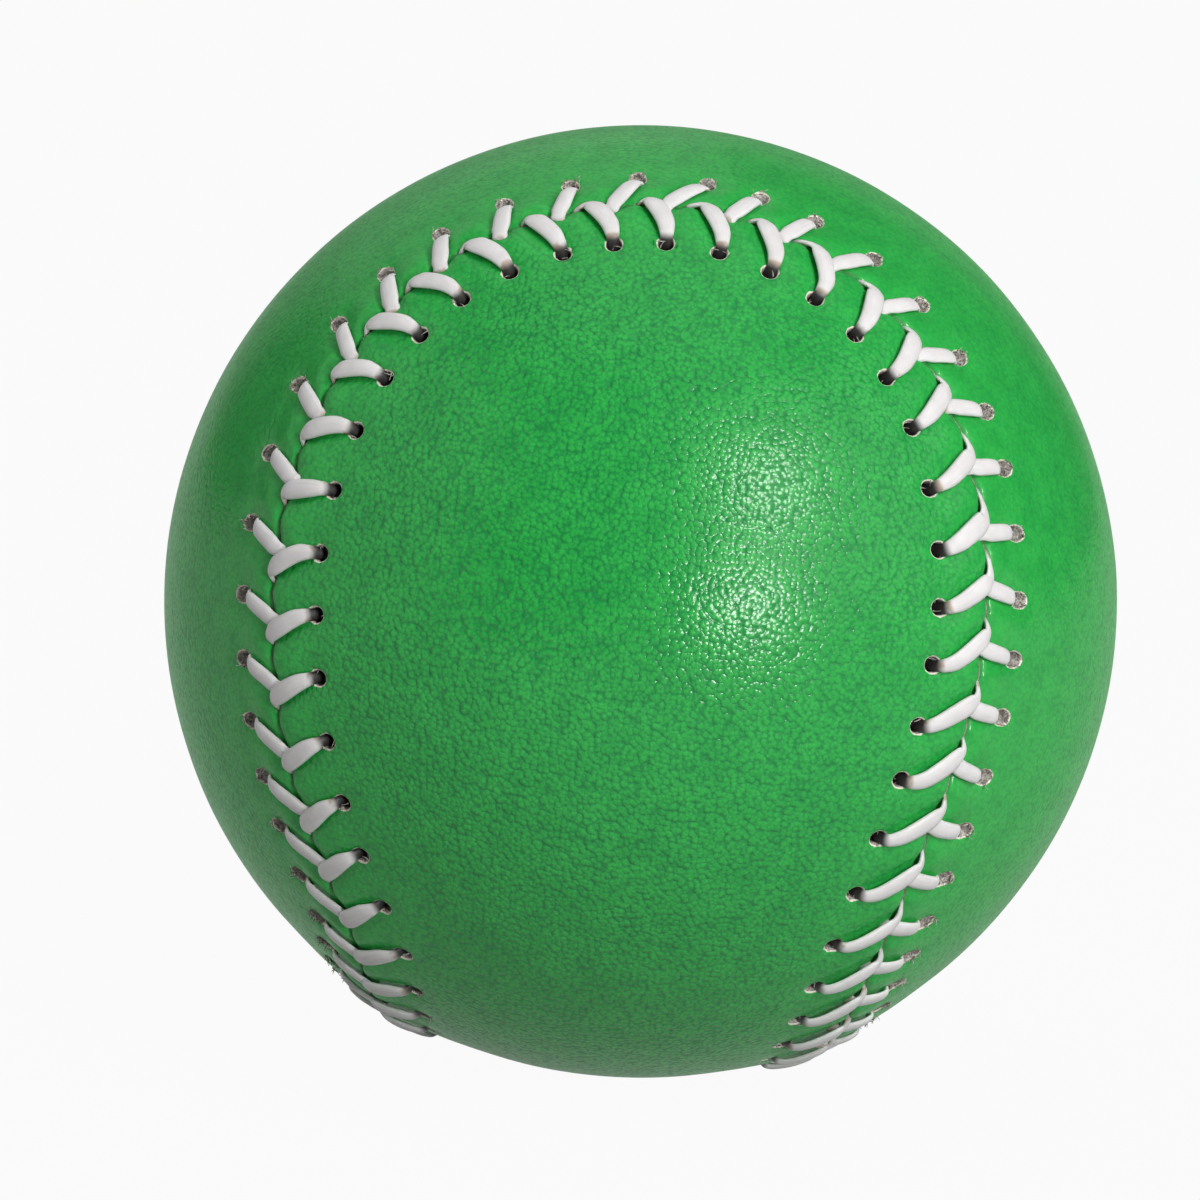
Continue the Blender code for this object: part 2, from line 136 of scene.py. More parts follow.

# the laces: along the lean from hole to seam, drift along the seam, reach from the seam as a share
# of the hole's inset, height over the leather, width, thickness, twist in degrees, painted shade (near
# black where the lace sinks under the leather), and the way the broad face looks, as shares outwards,
# along the seam and away from it
OUT = (1.0, 0.0, 0.0)
CROSSING = {LOWER: 0.0017, UPPER: 0.00165}
LOWER_ARM = (
    (0.00, 0.00, 1.02, -1.85, 1.00, 0.48, 0, 1.0, (-1.0, 0.0, 0.3)),
    (0.00, 0.00, 0.965, -1.00, 0.92, 0.46, 0, 1.0, (0.0, 0.0, 1.0)),
    (0.00, -0.03, 0.925, -0.42, 0.94, 0.48, 0, 1.0, (0.3, 0.0, 1.0)),
    (0.04, -0.07, 0.875, 0.02, 1.00, 0.54, 0, 0.48, (0.8, 0.0, 0.7)),
    (0.12, -0.14, 0.795, 0.22, 1.14, 0.60, 0, 0.04, (1.0, 0.0, 0.2)),
    (0.32, -0.26, 0.62, 0.33, 1.40, 0.68, 0, 0.0, OUT),
    (0.60, -0.22, 0.39, 0.38, 1.54, 0.70, 0, 0.0, OUT),
    (0.84, -0.08, 0.17, 0.34, 1.58, 0.66, 3, 0.0, OUT),
    (0.96, 0.02, 0.04, 0.20, 1.48, 0.58, 12, 0.0, OUT),
    (1.00, 0.36, -0.02, 0.10, 1.08, 0.52, 26, 0.05, OUT),
    (1.00, 0.90, -0.015, -0.04, 0.74, 0.44, 46, 0.15, OUT),
    (1.00, 1.45, 0.00, -0.40, 0.50, 0.40, 66, 0.5, OUT),
    (1.00, 1.90, -0.05, -1.60, 0.80, 0.45, 30, 1.0, OUT),
    (1.00, 2.60, -0.35, -1.85, 1.00, 0.48, 0, 1.0, (0.0, 1.0, 0.0)),
)
UPPER_ARM = (
    (0.00, 0.00, 0.96, -1.85, 1.00, 0.48, 0, 1.0, (-1.0, 0.0, 0.3)),
    (0.00, 0.00, 0.80, -1.10, 1.02, 0.42, 0, 0.60, (0.0, 0.0, 1.0)),
    (0.02, 0.00, 0.77, -0.55, 1.06, 0.42, 0, 0.52, (0.1, 0.0, 1.0)),
    (0.06, 0.01, 0.745, -0.14, 1.12, 0.46, 0, 0.26, (0.45, 0.0, 0.9)),
    (0.12, 0.02, 0.70, 0.08, 1.08, 0.52, 0, 0.02, (1.0, 0.0, 0.5)),
    (0.22, 0.03, 0.61, 0.17, 1.25, 0.55, 0, 0.0, (1.0, 0.0, 0.1)),
    (0.45, 0.02, 0.41, 0.21, 1.33, 0.57, 0, 0.0, OUT),
    (0.75, -0.02, 0.18, 0.16, 1.38, 0.57, 0, 0.0, OUT),
    (0.93, 0.00, 0.04, 0.12, 1.36, 0.56, 0, 0.0, OUT),
    (1.06, 0.00, -0.08, 0.08, 1.16, 0.52, 0, 0.02, OUT),
    (1.20, 0.00, -0.20, -0.02, 1.20, 0.50, 0, 0.2, OUT),
    (1.22, 0.10, -0.23, -0.70, 1.00, 0.48, 0, 0.9, OUT),
    (1.18, 0.30, -0.23, -1.60, 0.95, 0.48, 0, 1.0, OUT),
    (1.00, 1.20, -0.35, -1.85, 1.00, 0.48, 0, 1.0, (0.0, 1.0, 0.0)),
)
LACE_STEPS = 3  # rings between two points of a lace
LACE_SIZES = {"Section Sides": 12, "Underside Share": 0.6}
LACE_SEED = 17
LACE_SPREAD = 0.00007
BOW_SPREAD, SWELL_SPREAD, TAIL_SPREAD = 0.35, 0.03, 0.2

# the loose fibres at the holes; thickness and bend are shares of a fibre's length
FIBRE_SIZES = {"Fibre Thickness": 0.11, "Fibre Bend": 0.35}
FIBRES_AT_A_HOLE = {LOWER: 2, UPPER: 26}
FIBRE_ARC = (math.radians(-20), math.radians(200))
FIBRE_DEPTH = (0.00002, 0.00040)
FIBRE_LENGTH = 0.00050
FIBRE_TIP = 0.35  # thickness at the tip, as a share of that at the root
FIBRE_STEPS = 5
FIBRE_SIDES = 3
FIBRE_RING = 1.02  # how far out of a hole's middle the roots stand, as a share
FIBRE_SCATTER = 0.6
FIBRE_RISE = (0.0, 0.9)
FIBRE_LENGTHS = (0.4, 1.3)  # shortest and longest, as shares
FIBRE_SEED = 40

# wound yarns, by node: slot, inner radius, outer radius, thickness, dark and light colours
YARNS = {
    "coarse_winding": ("coarse_wool", 0.01715, 0.02900, 0.0016, (0.13, 0.13, 0.14, 1), (0.30, 0.30, 0.31, 1)),
    "white_winding": ("white_wool", 0.02940, 0.03110, 0.0012, (0.52, 0.50, 0.46, 1), (0.76, 0.75, 0.71, 1)),
    "fine_winding": ("fine_wool", 0.03150, 0.03360, 0.0010, (0.22, 0.22, 0.23, 1), (0.40, 0.40, 0.41, 1)),
    "finishing_winding": ("cotton", 0.03400, 0.03455, 0.0005, (0.48, 0.46, 0.42, 1), (0.70, 0.68, 0.63, 1)),
}
YARN_COVER = 2.6  # layers of turns that show on a winding
YARN_STEPS = 48  # points of a yarn in each turn
YARN_SIDES = 5
YARN_PRECESSION = 0.13  # how far the axis swings round in each turn, in radians
YARN_SWEEP = 1.15  # how far the axis tips, from upright to just past level
YARN_SINK = 0.5  # how far some turns lie deeper, as a share of the thickness
PACKED_STEPS = 5
YARN_SMOOTHING = YARN_STEPS // 4
PLIES = 3
PLY_PITCH = 6.0  # length of one twist, as a share of the thickness

# the camera
CAMERA_AZIMUTH = math.radians(1.30)
CAMERA_ELEVATION = math.radians(9.62)
CAMERA_ROLL = math.radians(5.09)
CAMERA_DISTANCE = 0.6825
CAMERA_LENS = 263.96
CAMERA_SENSOR = 36.0
CAMERA_SHIFT = (-0.03375, 0.0013)
CAMERA_CLIP = (0.01, 50)

# the lamps: way to the right, up and towards the camera; distance, size and power
LAMPS = {
    "high_key_lamp": ((0.488, 0.430, 0.760), 0.9, 0.15, 2.8),
    "low_key_lamp": ((0.427, -0.025, 0.904), 0.9, 0.13, 3.5),
    "key_glow_lamp": ((0.640, 0.370, 0.675), 0.9, 0.9, 3.2),
    "left_fill_lamp": ((-0.95, 0.28, 0.14), 1.2, 1.8, 7.8),
    "top_lamp": ((0.05, 0.97, 0.15), 1.2, 1.0, 2.5),
    "back_lamp": ((-0.20, 0.80, -0.56), 1.2, 1.0, 2.0),
    "rear_lamp": ((-0.10, 0.10, -0.99), 1.4, 1.6, 3.8),
}
WORLD_STRENGTH = 0.07
FLOOR_SIZE = 6.0
FLOOR_WHITE = 0.95  # share of plain white where the floor is seen


# places on the cover

def seam_direction(turn):
    """Direction of the seam from the ball's centre; two full turns go once round it."""
    polar = math.pi / 2 - (math.pi / 2 - WAIST_ANGLE) * np.cos(turn)
    around = turn / 2 + SEAM_SWING * np.sin(2 * turn)
    level = np.sin(polar)
    return np.stack((level * np.cos(around), -level * np.sin(around), -np.cos(polar)), axis=-1)


def unit(vectors):
    return vectors / np.linalg.norm(vectors, axis=-1, keepdims=True)


SEAM_TURNS = np.linspace(0, 4 * math.pi, SEAM_SAMPLES + 1)
SEAM_STEPS = np.linalg.norm(np.diff(seam_direction(SEAM_TURNS), axis=0), axis=1)
SEAM_DISTANCES = np.concatenate(([0.0], np.cumsum(SEAM_STEPS))) * BALL_RADIUS
SEAM_LENGTH = SEAM_DISTANCES[-1]
STITCHES = np.arange(STITCH_COUNT)


def seam_frame(distance):
    """Outward, along and across directions of the seam; across points to the lower panel."""
    turn = np.interp(np.mod(distance, SEAM_LENGTH), SEAM_DISTANCES, SEAM_TURNS)
    out = seam_direction(turn)
    along = unit(seam_direction(turn + SMALL_TURN) - seam_direction(turn - SMALL_TURN))
    return out, along, np.cross(out, along)


def hand_drift(stitch, drifts):
    """How far hand lacing strays at a stitch; it fades out on the far side of the ball."""
    return np.interp(np.mod(stitch, STITCH_COUNT), DRIFT_STITCHES, (0.0,) + drifts + (0.0,)) * MM


WANDER_STITCHES = np.arange(-STITCH_COUNT, 2 * STITCH_COUNT, 1 / WANDER_STEPS)
WANDER_WINDOW = np.hanning(WANDER_SMOOTHING) / np.hanning(WANDER_SMOOTHING).sum()
WANDER_PLACES = np.convolve(hand_drift(WANDER_STITCHES, SEAM_WANDER), WANDER_WINDOW, "same")


def seam_wander(distance):
    """How far the sewn seam lies off its even course, to the lower panel's side."""
    stitch = np.mod((distance - STITCH_START) * STITCH_COUNT / SEAM_LENGTH, STITCH_COUNT)
    return np.interp(stitch, WANDER_STITCHES, WANDER_PLACES)


def cover_axes(distance, offset, side):
    """Outward, along and away-from-the-seam directions of a place on the cover."""
    out, along, across = seam_frame(distance)
    angle = np.asarray((offset + seam_wander(distance)) / BALL_RADIUS)[..., None]
    outward = out * np.cos(angle) + across * np.sin(angle)
    away = across * np.cos(angle) - out * np.sin(angle)
    return outward, along, away * np.asarray(side)[..., None]


def cover_direction(distance, offset):
    """Direction of a place on the cover, off to one side of the seam."""
    return cover_axes(distance, offset, LOWER)[0]


def seam_middles(count):
    """Directions of evenly spread places along the seam."""
    return cover_direction(np.linspace(0, SEAM_LENGTH, count, endpoint=False), np.zeros(count))


def stitch_place(stitch):
    return STITCH_START + stitch * SEAM_LENGTH / STITCH_COUNT


def hole_place(stitch, side):
    place = stitch_place(stitch)
    even = place + side * (HOLE_LEAD + HOLE_SWING * np.sin(4 * math.pi * place / SEAM_LENGTH))
    return even + hand_drift(stitch, HOLE_DRIFT[side])


def hole_axes(stitch, side):
    return cover_axes(np.array(hole_place(stitch, side)), np.array(side * HOLE_INSET[side]), side)


def crossing_place(stitch, side):
    return stitch_place(stitch) + CROSSING[side] + hand_drift(stitch, CROSSING_DRIFT[side])


def seam_lift(offset):
    """Height of the leather over the ball's sphere beside the seam."""
    share = np.minimum(1, np.abs(offset) / RELIEF["Seam Rise Reach"])
    return RELIEF["Seam Rise"] * (1 + np.cos(math.pi * share)) / 2


# node trees

class Net:
    """The nodes of a tree: adds them and joins them up."""

    def __init__(self, tree):
        self.tree = tree

    def socket(self, sockets, key):
        if isinstance(key, int):
            return sockets[key]
        return next(socket for socket in sockets if socket.name == key and socket.enabled)

    def feed(self, socket, value):
        if isinstance(value, bpy.types.Node):
            value = value.outputs[0]
        if isinstance(value, bpy.types.NodeSocket):
            self.tree.links.new(value, socket)
        else:
            socket.default_value = value

    def add(self, kind, inputs=None, **settings):
        node = self.tree.nodes.new(kind)
        for name, value in settings.items():
            setattr(node, name, value)
        for key, value in (inputs or {}).items():
            self.feed(self.socket(node.inputs, key), value)
        return node

    def math(self, operation, first, second=0.0, third=0.0):
        inputs = {0: first, 1: second}
        if operation == "MULTIPLY_ADD":
            inputs[2] = third
        return self.add("ShaderNodeMath", inputs, operation=operation).outputs[0]

    def times(self, first, second, plus=None):
        if plus is None:
            return self.math("MULTIPLY", first, second)
        return self.math("MULTIPLY_ADD", first, second, plus)

    def less(self, first, second):
        return self.math("SUBTRACT", first, second)

    def vector(self, operation, first, second=(0.0, 0.0, 0.0)):
        return self.add("ShaderNodeVectorMath", {0: first, 1: second}, operation=operation).outputs[0]

    def scaled(self, first, scale):
        return self.add("ShaderNodeVectorMath", {0: first, "Scale": scale}, operation="SCALE").outputs[0]

    def ramp(self, value, low, high, start=0.0, end=1.0, smooth=True):
        kind = "SMOOTHSTEP" if smooth else "LINEAR"
        inputs = {0: value, 1: low, 2: high, 3: start, 4: end}
        return self.add("ShaderNodeMapRange", inputs, interpolation_type=kind).outputs[0]

    def blend(self, share, first, second):
        node = self.add("ShaderNodeMix", {0: share, 6: first, 7: second}, data_type="RGBA")
        return node.outputs[2]

    def noise(self, vector, scale, detail=2.0, roughness=0.5, distortion=0.0):
        return self.add("ShaderNodeTexNoise", {
            "Vector": vector, "Scale": scale, "Detail": detail, "Roughness": roughness,
            "Distortion": distortion}).outputs[0]

    def cells(self, vector, scale, feature="F1", randomness=1.0):
        inputs = {"Vector": vector, "Scale": scale, "Randomness": randomness}
        return self.add("ShaderNodeTexVoronoi", inputs, feature=feature)

    def split(self, vector):
        return self.add("ShaderNodeSeparateXYZ", {0: vector}).outputs

    def attribute(self, name, kind="FLOAT"):
        return self.add("GeometryNodeInputNamedAttribute", {"Name": name}, data_type=kind).outputs[0]

    def painted(self, name, part="Fac"):
        """A value that the mesh carries, for a material."""
        return self.add("ShaderNodeAttribute", attribute_name=name).outputs[part]

    def stored(self, geometry, name):
        """The geometry with each point's place stored under a name."""
        inputs = {"Geometry": geometry, "Name": name, "Value": self.add("GeometryNodeInputPosition")}
        return self.add("GeometryNodeStoreNamedAttribute", inputs, data_type="FLOAT_VECTOR", domain="POINT")


def sized_tree(name, sizes):
    """A Geometry Nodes tree with one geometry in, one out, and named sizes; also its nodes and inputs."""
    tree = bpy.data.node_groups.new(name, "GeometryNodeTree")
    tree.interface.new_socket("Geometry", in_out="INPUT", socket_type="NodeSocketGeometry")
    tree.interface.new_socket("Geometry", in_out="OUTPUT", socket_type="NodeSocketGeometry")
    for label, size in sizes.items():
        kind = "NodeSocketInt" if isinstance(size, int) else "NodeSocketFloat"
        tree.interface.new_socket(label, in_out="INPUT", socket_type=kind)
    net = Net(tree)
    return tree, net, net.add("NodeGroupInput").outputs


def close_tree(net, geometry, material, selection=True):
    """Ends a tree with plain geometry, which takes the material where it is selected."""
    whole = net.add("GeometryNodeRealizeInstances", {0: geometry})
    inputs = {"Geometry": whole, "Selection": selection, "Material": material}
    net.add("NodeGroupOutput", {0: net.add("GeometryNodeSetMaterial", inputs)})


def grow(piece, tree, sizes):
    """Runs the tree on a piece and leaves a plain, smooth mesh."""
    modifier = piece.modifiers.new(tree.name, "NODES")
    modifier.node_group = tree
    for socket in tree.interface.items_tree:
        if socket.in_out == "INPUT" and socket.name in sizes:
            modifier[socket.identifier] = sizes[socket.name]
    graph = bpy.context.evaluated_depsgraph_get()
    made = bpy.data.meshes.new_from_object(
        piece.evaluated_get(graph), preserve_all_data_layers=True, depsgraph=graph)
    piece.modifiers.clear()
    piece.data = made
    made.shade_smooth()
    return piece


def in_scene(name, data, matrix=Matrix.Identity(4)):
    thing = bpy.data.objects.new(name, data)
    thing.matrix_world = matrix
    bpy.context.scene.collection.objects.link(thing)
    return thing


def point_piece(name, places, edges=(), faces=()):
    mesh = bpy.data.meshes.new(name)
    mesh.from_pydata(np.asarray(places).tolist(), list(edges), list(faces))
    return in_scene(name, mesh)


def route_piece(name, places, run_name):
    """Points joined in a row, each with its distance along the route."""
    piece = point_piece(name, places, edges=[(step, step + 1) for step in range(len(places) - 1)])
    steps = np.linalg.norm(np.diff(places, axis=0), axis=1)
    give(piece, **{run_name: np.concatenate(([0.0], np.cumsum(steps)))})
    return piece


def give(piece, domain="POINT", **fields):
    """Stores one number or vector of each field for each point, or for each face."""
    for name, values in fields.items():
        values = np.asarray(values, np.float32)
        kind, field = ("FLOAT", "value") if values.ndim == 1 else ("FLOAT_VECTOR", "vector")
        piece.data.attributes.new(name, kind, domain).data.foreach_set(field, values.ravel())


def turn_outwards(piece):
    work = bmesh.new()
    work.from_mesh(piece.data)
    bmesh.ops.recalc_face_normals(work, faces=work.faces)
    work.to_mesh(piece.data)
    work.free()


# finishes

def finish_material(name):
    """A new material with its nodes, its main shader and the object's coordinates in millimetres."""
    material = bpy.data.materials.new(name)
    material.use_nodes = True
    net = Net(material.node_tree)
    place = net.scaled(net.add("ShaderNodeTexCoord").outputs["Object"], 1 / MM)
    return material, net, material.node_tree.nodes["Principled BSDF"], place


def surface(net, shader, shade, height, depth, roughness, strength=1.0):
    """Gives a shader its colour, relief and roughness; the relief's normal comes back."""
    bump = net.add("ShaderNodeBump", {"Strength": strength, "Distance": depth, "Height": height})
    for name, value in (("Base Color", shade), ("Normal", bump), ("Roughness", roughness)):
        net.feed(shader.inputs[name], value)
    return bump.outputs[0]


def set_values(shader, values):
    for name, value in values.items():
        shader.inputs[name].default_value = value


def green_leather():
    material, net, shader, place = finish_material("green_leather")
    cells = {"Vector": place, "Scale": 2.45, "Smoothness": 0.16, "Randomness": 0.84}
    pebble_gap = net.add("ShaderNodeTexVoronoi", cells, feature="SMOOTH_F1").outputs[0]
    pebble = net.less(1.0, net.math("POWER", net.times(pebble_gap, 1.25), 2.5))
    grit = net.math("POWER", net.times(net.cells(place, 4.4).outputs[0], 1.2), 2.0)
    lumps = net.noise(place, 3.6, 0.0)
    fine = net.noise(place, 6.0, 3.0, 0.6)
    cloud = net.noise(place, 0.45, 3.0)
    coarse = net.painted("grain_share")
    pits = net.less(1.0, pebble)
    pits = net.times(grit, 0.5, net.times(pits, 0.7))
    ridge = net.math("ABSOLUTE", net.less(net.noise(place, 0.13, 1.0, 0.5, 0.2), 0.5))
    patch = net.ramp(net.noise(place, 0.06, 1.0), 0.48, 0.62)
    crease = net.times(net.ramp(ridge, 0.0, 0.010, 1.0, 0.0), patch)
    grain = net.times(lumps, 0.12, pebble)
    grain = net.times(grit, -0.16, grain)
    grain = net.times(fine, 0.06, grain)
    grain = net.times(crease, -0.35, grain)
    grain = net.times(grain, coarse)
    shade = net.blend(net.ramp(cloud, 0.3, 0.7), (0.021, 0.376, 0.055, 1), (0.030, 0.440, 0.066, 1))
    # the grain's pits are painted darker: partly the pores' own tone, partly painted shade in the valleys
    # between the pebbles
    pit_tone_and_shade = net.times(coarse, 0.52, 0.16)
    pit_tone_and_shade = net.times(net.math("MINIMUM", pits, 0.75), pit_tone_and_shade)
    shade = net.blend(pit_tone_and_shade, shade, (0.001, 0.100, 0.045, 1))
    # painted shade: the creases are painted darker
    shade = net.blend(net.times(crease, 0.25), shade, (0.005, 0.180, 0.049, 1))
    hole = net.painted("hole_gap")
    worn = net.times(net.noise(place, 3.0, 3.0), 0.00022, hole)
    raw = net.ramp(worn, 0.00018, 0.00024, 1.0, 0.0)
    scuff = net.times(net.ramp(hole, 0.0005, 0.0028, 1.0, 0.0), net.ramp(fine, 0.60, 0.72))
    edge = net.times(net.noise(place, 1.6, 3.0), 0.0005, net.painted("seam_gap"))
    edge = net.ramp(edge, 0.00034, 0.00044, 0.45, 0.0)
    shade = net.blend(net.times(scuff, 0.2), shade, (0.35, 0.62, 0.38, 1))
    shade = net.blend(edge, shade, (0.16, 0.30, 0.15, 1))
    shade = net.blend(raw, shade, (0.80, 0.74, 0.64, 1))
    gloss = net.times(pits, 0.35, net.times(raw, 0.5))
    gloss = net.times(fine, 0.15, gloss)
    rough = surface(net, shader, shade, grain, 0.00007, net.ramp(gloss, 0.0, 1.0, 0.42, 0.9, False))
    smooth = net.add("ShaderNodeNewGeometry").outputs["Normal"]
    film = net.vector("ADD", net.scaled(rough, FILM_RELIEF), net.scaled(smooth, 1 - FILM_RELIEF))
    net.feed(shader.inputs["Coat Normal"], net.vector("NORMALIZE", film))
    set_values(shader, {
        "Specular IOR Level": 0.06, "Coat Weight": 0.18, "Coat Roughness": 0.18, "Coat IOR": 2.0})
    return material


def raw_suede():
    material, net, shader, place = finish_material("raw_suede")
    tufts = net.noise(place, 4.5, 4.0, 0.65)
    spots = net.noise(place, 2.2, 2.0)
    shade = net.blend(net.ramp(tufts, 0.32, 0.66), (0.20, 0.18, 0.155, 1), (0.66, 0.62, 0.56, 1))
    shade = net.blend(net.ramp(spots, 0.56, 0.68, 0.0, 0.6), shade, (0.10, 0.085, 0.07, 1))
    # painted shade: the hole walls darken to near black with depth, less in the holes that pale fuzz fills
    painted_hole_shade = net.ramp(net.painted("depth_share"), 0.10, 0.75)
    painted_hole_shade = net.times(painted_hole_shade, net.less(1.0, net.painted("fuzz_share")))
    shade = net.blend(painted_hole_shade, shade, (0.012, 0.010, 0.009, 1))
    surface(net, shader, shade, tufts, 0.00012, net.ramp(spots, 0.3, 0.7, 0.85, 1.0))
    return material


def waxed_lace():
    material, net, shader, place = finish_material("waxed_lace")
    cloudy = net.noise(place, 0.7, 3.0)
    section = net.split(net.painted("section", "Vector"))
    run = net.times(net.painted("lace_run"), 350.0)
    strand = net.add("ShaderNodeCombineXYZ", {0: net.times(section[0], 3.2), 1: run, 2: section[1]})
    streaks = net.noise(strand, 1.6, 3.0)
    shade = net.blend(net.ramp(cloudy, 0.3, 0.7), (0.68, 0.66, 0.66, 1), (0.74, 0.72, 0.72, 1))
    shade = net.blend(net.ramp(streaks, 0.45, 0.75, 0.0, 0.35), shade, (0.60, 0.57, 0.55, 1))
    end_stain_and_shade = net.painted("shade")
    blot = net.ramp(net.noise(place, 0.9, 2.0), 0.48, 0.60)
    stain = net.times(net.ramp(end_stain_and_shade, 0.03, 0.25), blot)
    shade = net.blend(net.times(stain, 0.7), shade, (0.40, 0.27, 0.17, 1))
    # painted shade: the lace turns near black where it sinks under the leather, into a hole or the seam
    shade = net.blend(net.ramp(end_stain_and_shade, 0.08, 0.75), shade, (0.012, 0.011, 0.010, 1))
    height = net.times(streaks, 0.3, cloudy)
    surface(net, shader, shade, height, 0.00004, net.ramp(streaks, 0.3, 0.7, 0.48, 0.6), 0.7)
    set_values(shader, {
        "Subsurface Weight": 0.5, "Subsurface Radius": (1.0, 0.95, 0.9), "Subsurface Scale": 0.0005})
    return material


def pressed_cork():
    material, net, shader, place = finish_material("pressed_cork")
    crumbs = net.cells(place, 0.8)
    tone = net.noise(crumbs.outputs["Position"], 3.7, 0.0)
    gaps = net.ramp(net.cells(place, 0.8, "DISTANCE_TO_EDGE").outputs[0], 0.0, 0.10, 1.0, 0.0)
    shade = net.blend(net.ramp(tone, 0.3, 0.7), (0.27, 0.13, 0.055, 1), (0.52, 0.31, 0.15, 1))
    shade = net.blend(gaps, shade, (0.12, 0.055, 0.025, 1))
    roughness = net.ramp(tone, 0.3, 0.7, 0.8, 0.95)
    surface(net, shader, shade, net.less(tone, gaps), 0.0001, roughness)
    return material


def moulded_rubber(name, dark, light):
    material, net, shader, place = finish_material(name)
    bloom = net.noise(place, 0.35, 4.0)
    grit = net.noise(place, 9.0, 2.0)
    shade = net.blend(net.ramp(bloom, 0.3, 0.7), dark, light)
    surface(net, shader, shade, grit, 0.00003, net.ramp(bloom, 0.3, 0.7, 0.5, 0.72), 0.6)
    return material


def wound_wool(name, dark, light, thickness):
    """Yarn of twisted plies."""
    material, net, shader, place = finish_material(name)
    fuzz = net.noise(place, 4.0 * MM / thickness, 4.0, 0.65)
    flecks = net.noise(place, 0.5, 3.0)
    section = net.split(net.painted("yarn_section", "Vector"))
    round_angle = net.math("ARCTAN2", section[1], section[0])
    twist = net.times(net.painted("yarn_run"), 2 * math.pi / (PLY_PITCH * thickness))
    ply = net.math("ABSOLUTE", net.math("SINE", net.times(round_angle, PLIES / 2, twist)))
    tone = net.times(fuzz, 0.6, net.times(flecks, 0.4))
    # painted shade: the grooves between the plies are darker
    tone = net.times(net.less(ply, 0.6), 0.3, tone)
    height = net.times(fuzz, 0.5, ply)
    shade = net.blend(net.ramp(tone, 0.35, 0.65), dark, light)
    surface(net, shader, shade, height, thickness * 0.12, net.ramp(fuzz, 0.3, 0.7, 0.85, 1.0))
    set_values(shader, {"Sheen Weight": 0.2})
    return material


# the leather cover

def column_places(side):
    """Where each column of a panel's mesh meets the seam; a column runs through every hole."""
    holes = hole_place(np.arange(-2, STITCH_COUNT + 2), side)
    middles = (holes[1:] + holes[:-1]) / 2
    knots = np.arange(-2, STITCH_COUNT + 2) * COLUMNS + COLUMNS / 2
    all_knots = np.concatenate((knots, knots[:-1] + COLUMNS / 2))
    all_places = np.concatenate((holes, middles))
    order = np.argsort(all_knots)
    return np.interp(np.arange(STITCH_COUNT * COLUMNS), all_knots[order], all_places[order])


def row_offsets(inset):
    """Distances of the rows from the seam, and the first row of the holes' patches."""
    start = inset - HOLE_PATCH
    near = [SEAM_SLIT + (start - SEAM_SLIT) * share for share in EDGE_ROWS]
    beside = [start + HOLE_PATCH * 2 * row / HOLE_COLUMNS for row in range(HOLE_COLUMNS + 1)]
    far = [inset + HOLE_PATCH + (BAND_REACH - inset - HOLE_PATCH) * share for share in BAND_ROWS]
    return np.array(near + beside + far), len(near)


def patch_border(first_row, first_column):
    """Rows and columns round a hole's patch, counter-clockwise from its first corner."""
    steps = range(HOLE_COLUMNS)
    last = HOLE_COLUMNS
    border = [(0, step) for step in steps]
    border += [(step, last) for step in steps]
    border += [(last, last - step) for step in steps]
    border += [(last - step, 0) for step in steps]
    return [(first_row + row, first_column + column) for row, column in border]


def flat_place(direction, side):
    x, y, z = np.moveaxis(direction, -1, 0)
    if side == LOWER:
        return np.stack((np.arctan2(y, -z), np.arcsin(x)), axis=-1)
    return np.stack((np.arctan2(x, z), np.arcsin(y)), axis=-1)


def round_place(flat, side):
    bearing, height = np.moveaxis(flat, -1, 0)
    first, second, third = np.sin(height), np.cos(height) * np.sin(bearing), np.cos(height) * np.cos(bearing)
    if side == LOWER:
        return np.stack((first, second, -third), axis=-1)
    return np.stack((second, first, third), axis=-1)


def search_tree(targets):
    tree = KDTree(len(targets))
    for index, target in enumerate(targets):
        tree.insert(target, index)
    tree.balance()
    return tree


def nearest_gap(directions, targets):
    tree = search_tree(targets)
    return np.array([tree.find(direction)[2] for direction in directions]) * BALL_RADIUS


def field_places(side):
    """Evenly spread places on the open leather inside the stitched band."""
    step = FIELD_SPACING / BALL_RADIUS
    places = []
    for row, height in enumerate(np.arange(-math.pi / 2 + step, math.pi / 2 - step, step * math.sqrt(3) / 2)):
        across = step / math.cos(height)
        bearings = np.arange(-math.pi + across * (row % 2) / 2, math.pi, across)
        places.append(np.stack((bearings, np.full_like(bearings, height)), axis=-1))
    places = np.concatenate(places)
    directions = round_place(places, side)
    out = seam_middles(SEAM_SAMPLES // 2)
    across = seam_frame(np.linspace(0, SEAM_LENGTH, SEAM_SAMPLES // 2, endpoint=False))[2]
    tree = search_tree(out)
    kept = []
    for index, direction in enumerate(directions):
        near, sample, gap = tree.find(direction)
        inside = side * float(np.dot(direction, across[sample])) > 0
        if inside and gap * BALL_RADIUS > BAND_REACH + FIELD_MARGIN:
            kept.append(index)
    return directions[kept]


def ring_faces(first, second):
    """Faces between two closed rings of corners."""
    return list(zip(first, second, second[1:] + second[:1], first[1:] + first[:1]))


